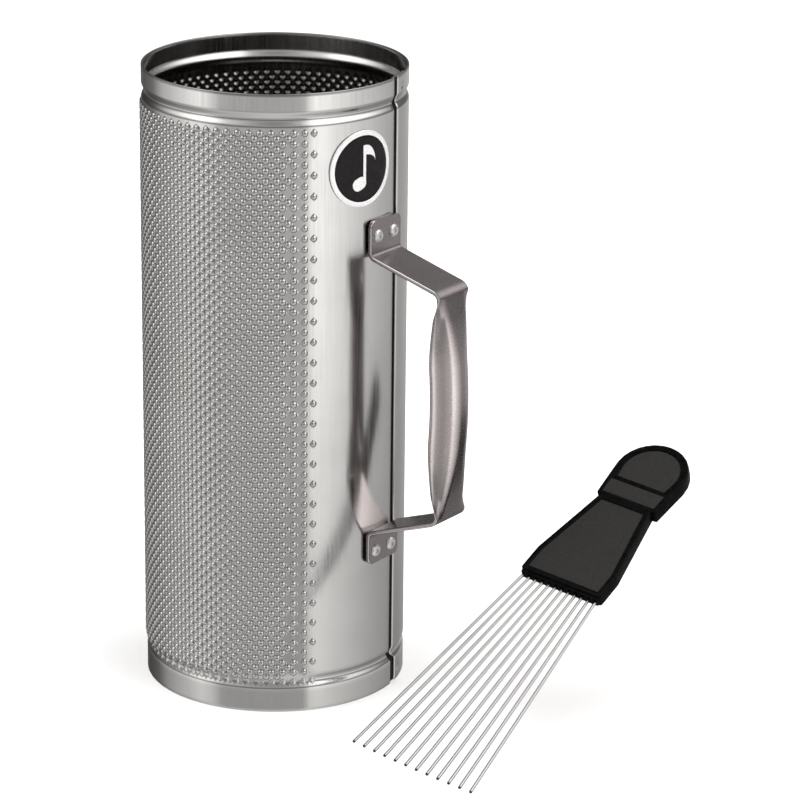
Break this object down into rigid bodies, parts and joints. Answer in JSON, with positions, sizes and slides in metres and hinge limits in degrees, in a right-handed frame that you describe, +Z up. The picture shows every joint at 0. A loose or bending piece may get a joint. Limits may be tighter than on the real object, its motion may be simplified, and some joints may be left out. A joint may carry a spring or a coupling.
{
  "type": "metal guiro with scraper",
  "caption": "Embossed sheet-steel tube guiro with a riveted strap handle, and a scraper whose sprung wire tines are drawn over its rows of bumps.",
  "frame": {"origin": "centre of the tube's bottom rim", "axes": "+Z up the tube, -Y towards the playing side, +X to the side that carries the handle and the scraper"},
  "size_m": [0.2651, 0.2446, 0.306],
  "materials": {
    "shell_steel": "brushed stainless sheet, embossed, with a soft sheen",
    "handle_steel": "satin gun-metal grey with fine speckle and bright edges",
    "rivet_steel": "bright drawn metal",
    "mandrel_steel": "plain steel",
    "badge_tape": "grey adhesive pad",
    "badge_metal": "light silver",
    "badge_enamel": "gloss black fill",
    "black_plastic": "black moulding, satin rims and finely grained panels",
    "tine_steel": "bright spring steel wire"
  },
  "bodies": {
    "tube": {"shell": "shell_steel", "handle": "handle_steel", "upper_rivets": "rivet_steel", "lower_rivets": "rivet_steel", "upper_mandrels": "mandrel_steel", "lower_mandrels": "mandrel_steel", "badge_tape": "badge_tape", "badge_plate": "badge_metal", "badge_enamel": "badge_enamel"},
    "scraper": {"scraper_handle": "black_plastic"},
    "tine_01": {"tine_01": "tine_steel"},
    "tine_02": {"tine_02": "tine_steel"},
    "tine_03": {"tine_03": "tine_steel"},
    "tine_04": {"tine_04": "tine_steel"},
    "tine_05": {"tine_05": "tine_steel"},
    "tine_06": {"tine_06": "tine_steel"},
    "tine_07": {"tine_07": "tine_steel"},
    "tine_08": {"tine_08": "tine_steel"},
    "tine_09": {"tine_09": "tine_steel"},
    "tine_10": {"tine_10": "tine_steel"},
    "tine_11": {"tine_11": "tine_steel"},
    "tine_12": {"tine_12": "tine_steel"}
  },
  "joints": [
    {"name": "scraper_lift", "type": "slide", "parent": "tube", "child": "scraper", "axis": [0, 0, 1], "range_m": [0, 0.31]},
    {"name": "tine_01_flex", "type": "hinge", "parent": "scraper", "child": "tine_01", "pos_m": [0.12513, -0.0589, 0.07585], "axis": [-0.7143, 0.684, 0.1483], "range_deg": [-5, 5], "stiffness_Nm_per_rad": 0.6},
    {"name": "tine_02_flex", "type": "hinge", "parent": "scraper", "child": "tine_02", "pos_m": [0.12792, -0.0611, 0.07549], "axis": [-0.7266, 0.6726, 0.1401], "range_deg": [-5, 5], "stiffness_Nm_per_rad": 0.6},
    {"name": "tine_03_flex", "type": "hinge", "parent": "scraper", "child": "tine_03", "pos_m": [0.13072, -0.06331, 0.07513], "axis": [-0.7388, 0.6609, 0.1319], "range_deg": [-5, 5], "stiffness_Nm_per_rad": 0.6},
    {"name": "tine_04_flex", "type": "hinge", "parent": "scraper", "child": "tine_04", "pos_m": [0.13351, -0.06551, 0.07476], "axis": [-0.7507, 0.649, 0.1236], "range_deg": [-5, 5], "stiffness_Nm_per_rad": 0.6},
    {"name": "tine_05_flex", "type": "hinge", "parent": "scraper", "child": "tine_05", "pos_m": [0.1363, -0.06772, 0.0744], "axis": [-0.7623, 0.6369, 0.1153], "range_deg": [-5, 5], "stiffness_Nm_per_rad": 0.6},
    {"name": "tine_06_flex", "type": "hinge", "parent": "scraper", "child": "tine_06", "pos_m": [0.13909, -0.06993, 0.07403], "axis": [-0.7736, 0.6246, 0.107], "range_deg": [-5, 5], "stiffness_Nm_per_rad": 0.6},
    {"name": "tine_07_flex", "type": "hinge", "parent": "scraper", "child": "tine_07", "pos_m": [0.14188, -0.07214, 0.07367], "axis": [-0.7847, 0.612, 0.0986], "range_deg": [-5, 5], "stiffness_Nm_per_rad": 0.6},
    {"name": "tine_08_flex", "type": "hinge", "parent": "scraper", "child": "tine_08", "pos_m": [0.14466, -0.07435, 0.0733], "axis": [-0.7955, 0.5992, 0.0902], "range_deg": [-5, 5], "stiffness_Nm_per_rad": 0.6},
    {"name": "tine_09_flex", "type": "hinge", "parent": "scraper", "child": "tine_09", "pos_m": [0.14745, -0.07657, 0.07293], "axis": [-0.806, 0.5863, 0.0817], "range_deg": [-5, 5], "stiffness_Nm_per_rad": 0.6},
    {"name": "tine_10_flex", "type": "hinge", "parent": "scraper", "child": "tine_10", "pos_m": [0.15023, -0.07879, 0.07255], "axis": [-0.8162, 0.5731, 0.0732], "range_deg": [-5, 5], "stiffness_Nm_per_rad": 0.6},
    {"name": "tine_11_flex", "type": "hinge", "parent": "scraper", "child": "tine_11", "pos_m": [0.15301, -0.08101, 0.07218], "axis": [-0.8262, 0.5597, 0.0647], "range_deg": [-5, 5], "stiffness_Nm_per_rad": 0.6},
    {"name": "tine_12_flex", "type": "hinge", "parent": "scraper", "child": "tine_12", "pos_m": [0.15578, -0.08323, 0.0718], "axis": [-0.8358, 0.5461, 0.0562], "range_deg": [-5, 5], "stiffness_Nm_per_rad": 0.6}
  ]
}
